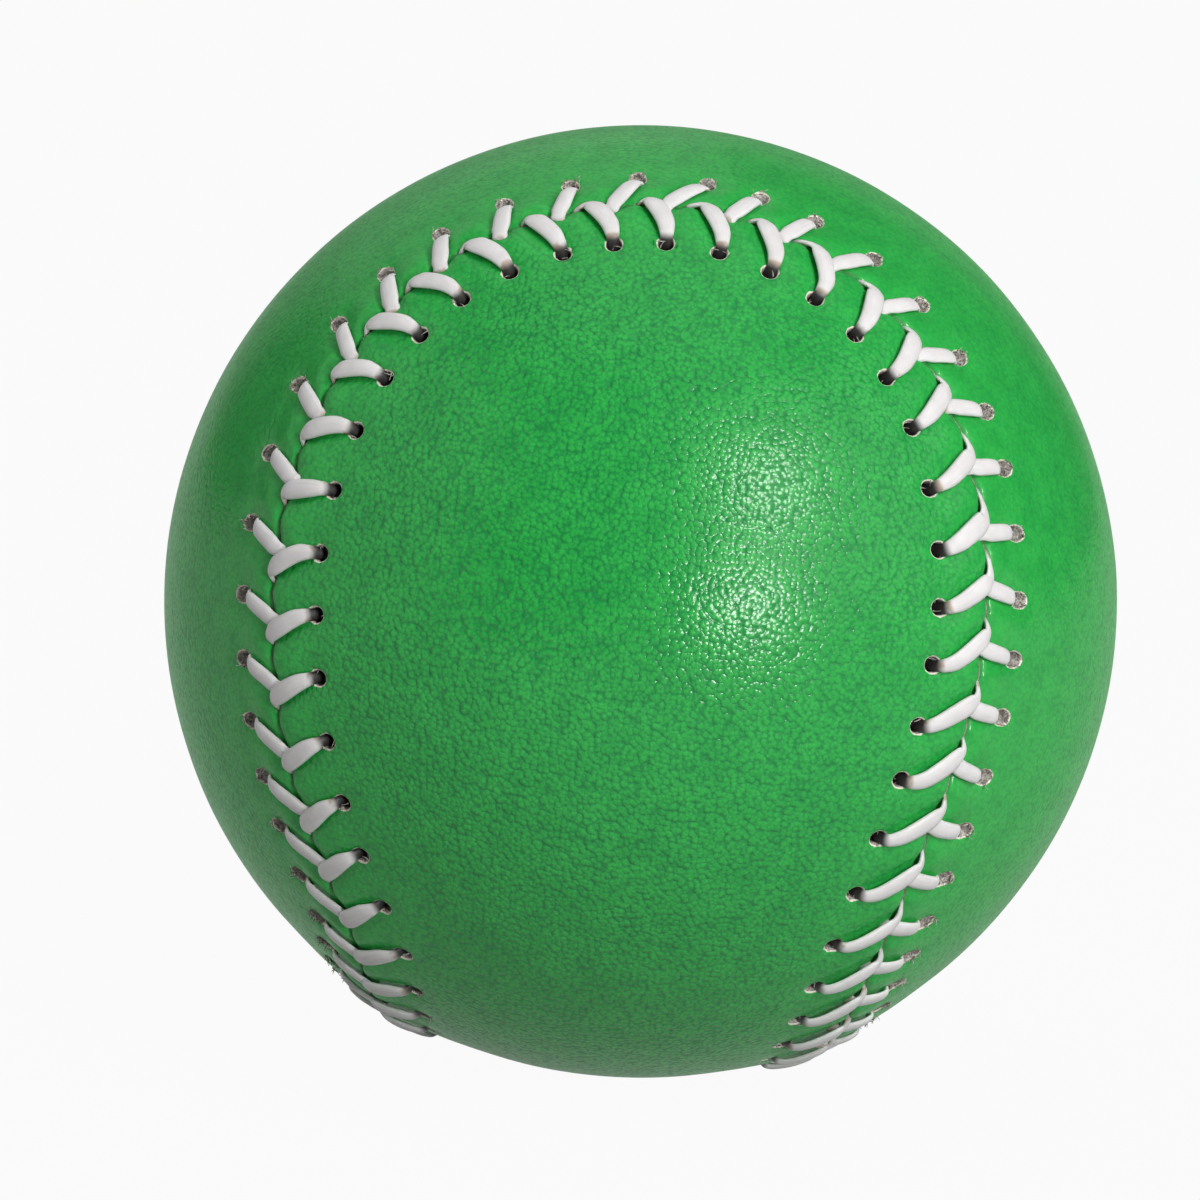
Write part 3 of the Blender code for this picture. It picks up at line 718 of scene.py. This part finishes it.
def panel_mesh(side):
    """A panel's outer directions, faces, edge loop, hole loops, gaps to a hole's edge, and used places."""
    inset = HOLE_INSET[side]
    places = column_places(side)
    rows, patch_row = row_offsets(inset)
    column_count = len(places)
    grid_places, grid_rows = np.meshgrid(places, rows)
    directions = [cover_direction(grid_places, side * grid_rows).reshape(-1, 3)]
    inside = np.zeros((len(rows), column_count), bool)
    index = np.arange(len(rows) * column_count).reshape(len(rows), column_count)
    faces = []
    hole_loops = []
    lips = []
    buried = []
    count = index.size
    ring_size = 4 * HOLE_COLUMNS
    angles = PATCH_CORNER + np.arange(ring_size) * 2 * math.pi / ring_size
    for stitch in range(STITCH_COUNT):
        first_column = stitch * COLUMNS + (COLUMNS - HOLE_COLUMNS) // 2
        last_row, last_column = patch_row + HOLE_COLUMNS, first_column + HOLE_COLUMNS
        inside[patch_row:last_row, first_column:last_column] = True
        buried.append(index[patch_row + 1:last_row, first_column + 1:last_column])
        border = [index[row, column % column_count] for row, column in patch_border(patch_row, first_column)]
        outward, along, away = hole_axes(stitch, side)
        rings = []
        for gap in HOLE_RINGS:
            shift_along = np.cos(angles)[:, None] * along * (HOLE_HALF_WIDTH[side] + gap)
            shift_away = np.sin(angles)[:, None] * away * (HOLE_HALF_LENGTH[side] + gap)
            directions.append(unit(outward * BALL_RADIUS + shift_along + shift_away))
            rings.append(list(range(count, count + ring_size)))
            lips.append(np.full(ring_size, gap))
            count += ring_size
        hole_loops.append(rings[0])
        for inner, outer in zip(rings, rings[1:] + [border]):
            faces += ring_faces(inner, outer)
    for row in range(len(rows) - 1):
        for column in range(column_count):
            if not inside[row, column]:
                after = (column + 1) % column_count
                faces.append((*index[row, [column, after]], *index[row + 1, [after, column]]))
    field = field_places(side)
    rim = index[-1]
    flat = flat_place(np.concatenate((directions[0][rim], field)), side)
    loop = list(range(column_count))
    result = delaunay_2d_cdt([Vector(place) for place in flat], [], [loop], 1, TINY)
    names = np.concatenate((rim, np.arange(count, count + len(field))))
    origins = [names[origin[0]] for origin in result[3]]
    faces += [tuple(origins[corner] for corner in face) for face in result[2]]
    directions.append(field)
    used = np.ones(count + len(field), bool)
    used[np.array(buried)] = False
    gaps = np.concatenate([np.full(index.size, np.nan)] + lips + [np.full(len(field), 1.0)])
    return np.concatenate(directions), faces, list(index[0]), hole_loops, gaps, used


def arm_middles():
    """Places along the middle of every lace arm on the cover."""
    shares = np.linspace(0, 1, ARM_SAMPLES)
    middles = []
    for side in (LOWER, UPPER):
        for stitch in range(STITCH_COUNT):
            start = hole_place(stitch, side)
            end = crossing_place(stitch, side)
            offsets = side * HOLE_INSET[side] * (1 - shares)
            middles.append(cover_direction(start + (end - start) * shares, offsets))
    return np.concatenate(middles)


def leather_relief(leather, suede):
    """Tree that turns a panel's directions into stitched leather with a rolled edge and pulled holes."""
    tree, net, given = sized_tree("leather_relief", RELIEF)
    seam, hole, arm, depth = (
        net.attribute(name) for name in ("seam_gap", "hole_gap", "arm_gap", "depth_share"))

    def fade(gap, label, start=0.0, smooth=True):
        return net.ramp(gap, start, given[label + " Reach"], 1.0, 0.0, smooth)

    def dent(gap, label, start=0.0, power=None):
        share = fade(gap, label, start, power is None)
        if power:
            share = net.math("POWER", share, power)
        return net.times(share, given[label + " Depth"])

    rise = net.times(fade(seam, "Seam Rise"), given["Seam Rise"])
    free = net.ramp(arm, given["Puff Start"], given["Puff Full"])
    puff = net.times(net.times(free, fade(seam, "Puff", given["Puff Start"])), given["Puff Height"])
    facing = net.vector("NORMALIZE", net.add("GeometryNodeInputPosition").outputs[0])
    size = net.math("DIVIDE", given["Ball Radius"], given["Unevenness Size"])
    wave = net.less(net.noise(facing, size, 1.0), 0.5)
    height = net.math("ADD", net.times(wave, given["Unevenness"], rise), puff)
    height = net.less(height, dent(seam, "Edge Roll", power=given["Edge Roll Power"]))
    height = net.less(height, dent(arm, "Lace Press", given["Lace Press Core"]))
    height = net.less(height, dent(hole, "Hole Lip", power=given["Hole Lip Power"]))
    height = net.less(height, dent(hole, "Hole Dip"))
    outside = net.math("ADD", given["Ball Radius"], height)
    inside = net.less(given["Ball Radius"], given["Leather Thickness"])
    radius = net.times(net.less(inside, outside), depth, outside)
    places = {"Geometry": given["Geometry"], "Position": net.scaled(facing, radius)}
    moved = net.add("GeometryNodeSetPosition", places)
    grain = net.add("GeometryNodeSetMaterial", {"Geometry": moved, "Material": leather})
    close_tree(net, grain, suede, net.math("GREATER_THAN", net.attribute("flesh_side"), 0.5))
    return tree


def hole_lean(side, total, hole_loops):
    """How far each place of a panel moves under the leather: the holes lean to the seam."""
    lean = np.zeros((total, 3))
    for stitch, loop in enumerate(hole_loops):
        lean[loop] = -hole_axes(stitch, side)[2] * HOLE_SLANT[side]
    return lean


def leather_panel(name, side, tree):
    """A figure-eight panel with a rolled edge, its row of lace holes and its raw flesh side."""
    directions, faces, edge_loop, hole_loops, gaps, used = panel_mesh(side)
    holes = cover_direction(hole_place(STITCHES, side), np.full(STITCH_COUNT, side * HOLE_INSET[side]))
    hole_gap = nearest_gap(directions, holes) - (HOLE_HALF_WIDTH[side] + HOLE_HALF_LENGTH[side]) / 2
    hole_gap = np.where(np.isnan(gaps), np.maximum(hole_gap, HOLE_RINGS[-1]), gaps)
    seam_gap = nearest_gap(directions, seam_middles(SEAM_SAMPLES))
    arm_gap = nearest_gap(directions, arm_middles())
    total = len(directions)
    ring = np.array([corner for loop in [edge_loop] + hole_loops for corner in loop])
    layers = [np.arange(total)] + [ring] * (len(WALL_SHARES) - 2) + [np.arange(total)]
    depth = np.concatenate([np.full(len(layer), share) for layer, share in zip(layers, WALL_SHARES)])
    starts = np.cumsum([0] + [len(layer) for layer in layers])
    inner = int(starts[-2])
    walls = []
    ring_start = 0
    for loop in [edge_loop] + hole_loops:
        levels = [list(loop)]
        for start in starts[1:-2]:
            levels.append([int(start) + ring_start + step for step in range(len(loop))])
        levels.append([corner + inner for corner in loop])
        ring_start += len(loop)
        for upper, lower in zip(levels, levels[1:]):
            walls += ring_faces(upper, lower)
    backs = [tuple(corner + inner for corner in reversed(face)) for face in faces]
    source = np.concatenate(layers)
    keep = used[source]
    new_index = np.cumsum(keep) - 1
    all_faces = [tuple(int(new_index[corner]) for corner in face) for face in faces + walls + backs]
    source = source[keep]
    depth = depth[keep]
    places = directions[source] * BALL_RADIUS + hole_lean(side, total, hole_loops)[source] * depth[:, None]
    piece = point_piece(name, places, faces=all_faces)
    stretch = np.clip((seam_gap[source] - GRAIN_FADE_START) / GRAIN_FADE_REACH, 0, 1)
    give(piece, seam_gap=seam_gap[source], hole_gap=hole_gap[source], arm_gap=arm_gap[source],
         depth_share=depth, grain_share=GRAIN_SHARE[side] * (GRAIN_AT_SEAM + (1 - GRAIN_AT_SEAM) * stretch),
         fuzz_share=np.full(len(source), HOLE_SHADE_LIFT[side]))
    give(piece, "FACE", flesh_side=[0.0] * len(faces) + [1.0] * len(walls + backs))
    turn_outwards(piece)
    return grow(piece, tree, RELIEF)


# the laces

def lace_controls(first_side, seed):
    """The points that a lace runs through, hole to seam to the next hole, each as a row of numbers."""
    chance = np.random.default_rng(seed)
    rows = []
    for stitch in range(STITCH_COUNT):
        side = first_side if stitch % 2 == 0 else -first_side
        arm = LOWER_ARM if side == LOWER else UPPER_ARM
        start = hole_place(stitch, side)
        end = crossing_place(stitch, side) + chance.normal(0, LACE_SPREAD)
        bow = 1 + BOW_SPREAD * chance.normal()
        swell = 1 + SWELL_SPREAD * chance.normal()
        tail = 1 + TAIL_SPREAD * chance.normal()
        tail = tail * np.interp(stitch, TAIL_STITCHES, TAIL_STRETCH)
        for lean, drift, reach, height, width, thickness, twist, shade, look in arm:
            drift = drift * (tail if lean == 1.0 else bow) * MM
            place = start + (end - start) * lean + drift
            offset = side * reach * HOLE_INSET[side]
            rows.append((place, offset, height * MM, width * swell * MM / 2, thickness * MM / 2,
                         math.radians(twist), shade, side, *look))
    return np.array(rows)


def smooth_rows(rows, steps):
    """Rows between the given ones, on a smooth curve through them."""
    padded = np.concatenate((2 * rows[:1] - rows[1:2], rows, 2 * rows[-1:] - rows[-2:-1]))
    before, start, end, after = padded[:-3], padded[1:-2], padded[2:-1], padded[3:]
    pieces = []
    for step in range(steps):
        share = step / steps
        linear = (end - before) * share
        square = (2 * before - 5 * start + 4 * end - after) * share ** 2
        cube = (3 * start - before - 3 * end + after) * share ** 3
        pieces.append(start + (linear + square + cube) / 2)
    return np.concatenate((np.stack(pieces, axis=1).reshape(-1, rows.shape[1]), rows[-1:]))


def turned(vectors, axes, angles):
    """Each vector turned about its axis."""
    cosine, sine = np.cos(angles)[:, None], np.sin(angles)[:, None]
    along = axes * np.sum(axes * vectors, axis=1, keepdims=True)
    return along + (vectors - along) * cosine + np.cross(axes, vectors) * sine


def lace_sweep(lace):
    """Tree that sweeps a flat, crowned section along a lace's route."""
    tree, net, given = sized_tree("lace_sweep", LACE_SIZES)
    route = net.add("GeometryNodeMeshToCurve", {0: net.stored(given["Geometry"], "lace_middle")})
    circle = {"Resolution": given["Section Sides"], "Radius": 1.0}
    section = net.stored(net.add("GeometryNodeCurvePrimitiveCircle", circle), "section")
    tube = net.add("GeometryNodeCurveToMesh", {"Curve": route, "Profile Curve": section, "Fill Caps": True})
    middle, broad, crown, section = (net.attribute(name, "FLOAT_VECTOR") for name in (
        "lace_middle", "broad_way", "crown_way", "section"))
    across, up = net.split(section)[:2]
    breadth = net.times(across, net.attribute("half_width"))
    rise = net.math("MAXIMUM", up, net.times(up, given["Underside Share"]))
    rise = net.times(rise, net.attribute("half_thickness"))
    place = net.vector("ADD", middle, net.scaled(broad, breadth))
    place = net.vector("ADD", place, net.scaled(crown, rise))
    shaped = net.add("GeometryNodeSetPosition", {"Geometry": tube, "Position": place})
    close_tree(net, shaped, lace)
    return tree


def waxed_lace_piece(name, first_side, seed, tree):
    """One lace: its arms over the cover and its runs under it."""
    rows = smooth_rows(lace_controls(first_side, seed), LACE_STEPS)
    place, offset, height, half_width, half_thickness, twist, shade, side = rows[:, :8].T
    outward, along, across = cover_axes(place, offset, np.ones(len(place)))
    away = across * np.sign(side + TINY)[:, None]
    middles = outward * (BALL_RADIUS + seam_lift(offset) + height)[:, None]
    ahead = unit(np.gradient(middles, axis=0))
    look = outward * rows[:, 8:9] + along * rows[:, 9:10] + away * rows[:, 10:11]
    crown = unit(look - ahead * np.sum(look * ahead, axis=1, keepdims=True))
    crown = turned(crown, ahead, twist)
    broad = np.cross(ahead, crown)
    piece = route_piece(name, middles, "lace_run")
    give(piece, half_width=half_width, half_thickness=half_thickness, shade=np.clip(shade, 0, 1),
         broad_way=broad, crown_way=crown)
    grow(piece, tree, LACE_SIZES)
    turn_outwards(piece)
    piece.data.shade_smooth()
    return piece


# loose fibres at the holes

def fibre_field(fibre):
    """Tree that sets a thin, bent fibre at every point, along the point's own way."""
    tree, net, given = sized_tree("fibre_field", FIBRE_SIZES)
    line = net.add("GeometryNodeCurvePrimitiveLine", {"Start": (0, 0, 0), "End": (0, 0, 1)})
    line = net.add("GeometryNodeResampleCurve", {"Curve": line, "Count": FIBRE_STEPS})
    share = net.add("GeometryNodeSplineParameter").outputs["Factor"]
    bend = net.times(net.math("POWER", share, 2.0), given["Fibre Bend"])
    bent = net.add("GeometryNodeSetPosition", {
        "Geometry": line, "Offset": net.add("ShaderNodeCombineXYZ", {0: bend})})
    section = net.add("GeometryNodeCurvePrimitiveCircle", {
        "Resolution": FIBRE_SIDES, "Radius": given["Fibre Thickness"]})
    taper = net.ramp(share, 0.0, 1.0, 1.0, FIBRE_TIP, False)
    tube = net.add("GeometryNodeCurveToMesh", {
        "Curve": bent, "Profile Curve": section, "Scale": taper, "Fill Caps": True})
    turn = net.add("FunctionNodeAlignRotationToVector", {
        "Vector": net.attribute("fibre_way", "FLOAT_VECTOR")}, axis="Z")
    spin = net.add("FunctionNodeAxisAngleToRotation", {
        "Axis": (0, 0, 1), "Angle": net.attribute("fibre_spin")})
    turn = net.add("FunctionNodeRotateRotation", {0: turn, 1: spin}, rotation_space="LOCAL")
    placed = net.add("GeometryNodeInstanceOnPoints", {
        "Points": given["Geometry"], "Instance": tube, "Rotation": turn,
        "Scale": net.attribute("fibre_length")})
    close_tree(net, placed, fibre)
    return tree


def frayed_fibres(name, side, tree):
    """The fibres that stand out of the raw leather round one panel's holes."""
    chance = np.random.default_rng(FIBRE_SEED + side)
    places, ways, lengths = [], [], []
    for stitch in range(STITCH_COUNT):
        outward, along, away = hole_axes(stitch, side)
        for fibre in range(FIBRES_AT_A_HOLE[side]):
            angle = chance.uniform(*FIBRE_ARC)
            ring = along * math.cos(angle) * HOLE_HALF_WIDTH[side]
            ring = ring + away * math.sin(angle) * HOLE_HALF_LENGTH[side]
            depth = chance.uniform(*FIBRE_DEPTH)
            middle = outward * (BALL_RADIUS + seam_lift(HOLE_INSET[side]) - depth)
            places.append(middle + ring * FIBRE_RING)
            inward = -unit(ring) + chance.normal(0, FIBRE_SCATTER, 3) + outward * chance.uniform(*FIBRE_RISE)
            ways.append(unit(inward))
            lengths.append(FIBRE_LENGTH * chance.uniform(*FIBRE_LENGTHS))
    piece = point_piece(name, np.array(places))
    give(piece, fibre_way=ways, fibre_length=lengths, fibre_spin=chance.uniform(0, 2 * math.pi, len(places)))
    return grow(piece, tree, FIBRE_SIZES)


# the wound yarns under the cover

def yarn_route(radius, thickness, seed):
    """Places along a yarn wound over a ball in great circles whose axis wanders all round."""
    turns = int(YARN_COVER * 2 * radius / thickness)
    share = (np.arange(turns * YARN_STEPS) + 0.5) / (turns * YARN_STEPS)
    swing = turns * YARN_PRECESSION * share
    height = 1 - YARN_SWEEP * share
    level = np.sqrt(1 - height ** 2)
    axis = np.stack([level * np.cos(swing), level * np.sin(swing), height], axis=1)
    side = unit(np.stack([-np.sin(swing), np.cos(swing), np.zeros(len(swing))], axis=1))
    other = np.cross(axis, side)
    turn = 2 * math.pi * turns * share - swing * height
    way = side * np.cos(turn)[:, None] + other * np.sin(turn)[:, None]
    chance = np.random.default_rng(seed)
    window = np.ones(YARN_SMOOTHING) / YARN_SMOOTHING
    sink = np.convolve(chance.uniform(0, 1, len(share)), window, "same")
    return unit(way) * (radius - thickness * (0.5 + YARN_SINK * sink))[:, None]


def yarn_winding(yarn, sizes):
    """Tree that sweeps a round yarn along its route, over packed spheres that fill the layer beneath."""
    tree, net, given = sized_tree("yarn_winding_" + yarn.name, sizes)
    circle = {"Resolution": YARN_SIDES, "Radius": given["Yarn Radius"]}
    section = net.stored(net.add("GeometryNodeCurvePrimitiveCircle", circle), "yarn_section")
    route = net.add("GeometryNodeMeshToCurve", {0: given["Geometry"]})
    tube = net.add("GeometryNodeCurveToMesh", {"Curve": route, "Profile Curve": section, "Fill Caps": True})
    hollow, packed = (
        net.add("GeometryNodeMeshIcoSphere", {"Radius": given[label], "Subdivisions": PACKED_STEPS})
        for label in ("Packed Inside", "Packed Outside"))
    hollow = net.add("GeometryNodeFlipFaces", {"Mesh": hollow})
    joined = net.add("GeometryNodeJoinGeometry")
    for part in (hollow, packed, tube):
        net.feed(joined.inputs[0], part)
    close_tree(net, joined, yarn)
    return tree


def wound_yarn(name, inner, outer, thickness, seed, yarn):
    """One layer of yarn, from its inner to its outer radius."""
    piece = route_piece(name, yarn_route(outer, thickness, seed), "yarn_run")
    sizes = {"Yarn Radius": thickness / 2, "Packed Outside": outer - thickness, "Packed Inside": inner}
    return grow(piece, yarn_winding(yarn, sizes), sizes)


# the studio

def camera_axes():
    """Right, up and backward directions of the camera."""
    back = Vector((math.cos(CAMERA_ELEVATION) * math.sin(CAMERA_AZIMUTH),
                   -math.cos(CAMERA_ELEVATION) * math.cos(CAMERA_AZIMUTH), math.sin(CAMERA_ELEVATION)))
    level = Vector((math.cos(CAMERA_AZIMUTH), math.sin(CAMERA_AZIMUTH), 0))
    upright = back.cross(level)
    right = level * math.cos(CAMERA_ROLL) + upright * math.sin(CAMERA_ROLL)
    return right, back.cross(right), back


def photo_camera():
    right, up, back = camera_axes()
    lens = bpy.data.cameras.new("photo_camera")
    lens.lens = CAMERA_LENS
    lens.sensor_width = CAMERA_SENSOR
    lens.shift_x, lens.shift_y = CAMERA_SHIFT
    lens.clip_start, lens.clip_end = CAMERA_CLIP
    turn = Matrix((right, up, back)).transposed().to_4x4()
    bpy.context.scene.camera = in_scene(
        "photo_camera", lens, Matrix.Translation(back * CAMERA_DISTANCE) @ turn)


def soft_lamp(name, way, distance, size, power):
    """A square lamp that looks at the ball."""
    right, up, back = camera_axes()
    direction = (right * way[0] + up * way[1] + back * way[2]).normalized()
    light = bpy.data.lights.new(name, "AREA")
    light.shape = "SQUARE"
    light.size = size
    light.energy = power
    turn = direction.to_track_quat("Z", "Y").to_matrix().to_4x4()
    in_scene(name, light, Matrix.Translation(direction * distance) @ turn)


def pale_floor():
    half = FLOOR_SIZE / 2
    corners = [(-half, -half), (half, -half), (half, half), (-half, half)]
    floor = point_piece("floor", [(x, y, cad_box[0][2]) for x, y in corners], faces=[(0, 1, 2, 3)])
    material, net, shader, place = finish_material("pale_floor")
    speck = net.noise(place, 40.0 * MM, 2.0)
    net.feed(shader.inputs["Base Color"], net.blend(speck, (0.24, 0.24, 0.24, 1), (0.26, 0.26, 0.26, 1)))
    set_values(shader, {"Roughness": 0.9, "Specular IOR Level": 0.0})
    rays = net.add("ShaderNodeLightPath").outputs
    seen = net.math("MAXIMUM", rays["Is Camera Ray"], rays["Is Glossy Ray"])
    seen = net.math("MAXIMUM", seen, rays["Is Transmission Ray"])
    glow = net.add("ShaderNodeEmission", {"Color": (1, 1, 1, 1), "Strength": 1.0})
    mixed = net.add("ShaderNodeMixShader", {0: net.times(seen, FLOOR_WHITE), 1: shader, 2: glow})
    net.feed(material.node_tree.nodes["Material Output"].inputs[0], mixed)
    floor.data.materials.append(material)


def soft_world():
    world = bpy.data.worlds.new("soft_world")
    bpy.context.scene.world = world
    world.use_nodes = True
    set_values(world.node_tree.nodes["Background"], {"Color": (1, 1, 1, 1), "Strength": WORLD_STRENGTH})


def studio():
    bpy.context.scene.view_settings.view_transform = "Standard"
    photo_camera()
    for name, lamp in LAMPS.items():
        soft_lamp(name, *lamp)
    pale_floor()
    soft_world()


# the ball

def dress(node, material):
    """A solid that stays gets a finer finish."""
    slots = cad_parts[node].data.materials
    for index in range(len(slots)):
        slots[index] = material


def stands_for(piece, node):
    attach(piece, "root")
    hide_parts(node)


studio()
leather, suede, lace = green_leather(), raw_suede(), waxed_lace()
relief = leather_relief(leather, suede)
stands_for(leather_panel("lower_leather", LOWER, relief), "lower_panel")
stands_for(leather_panel("upper_leather", UPPER, relief), "upper_panel")
sweep = lace_sweep(lace)
stands_for(waxed_lace_piece("first_waxed_lace", LOWER, LACE_SEED, sweep), "first_lace")
stands_for(waxed_lace_piece("second_waxed_lace", UPPER, LACE_SEED + 1, sweep), "second_lace")
fibres = fibre_field(suede)
for name, side in (("lower_hole_fibres", LOWER), ("upper_hole_fibres", UPPER)):
    tufts = frayed_fibres(name, side, fibres)
    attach(tufts, "root")
dress("cork_core", pressed_cork())
black_rubber = moulded_rubber("black_rubber", (0.012, 0.012, 0.012, 1), (0.03, 0.03, 0.03, 1))
red_rubber = moulded_rubber("red_rubber", (0.33, 0.025, 0.02, 1), (0.50, 0.05, 0.035, 1))
for half in ("upper", "lower"):
    dress("black_shell_" + half, black_rubber)
    dress("red_shell_" + half, red_rubber)
    dress("washer_" + half, red_rubber)
for seed, (node, (slot, inner, outer, thickness, dark, light)) in enumerate(YARNS.items()):
    yarn = wound_wool(slot, dark, light, thickness)
    stands_for(wound_yarn("wound_" + slot, inner, outer, thickness, seed, yarn), node)
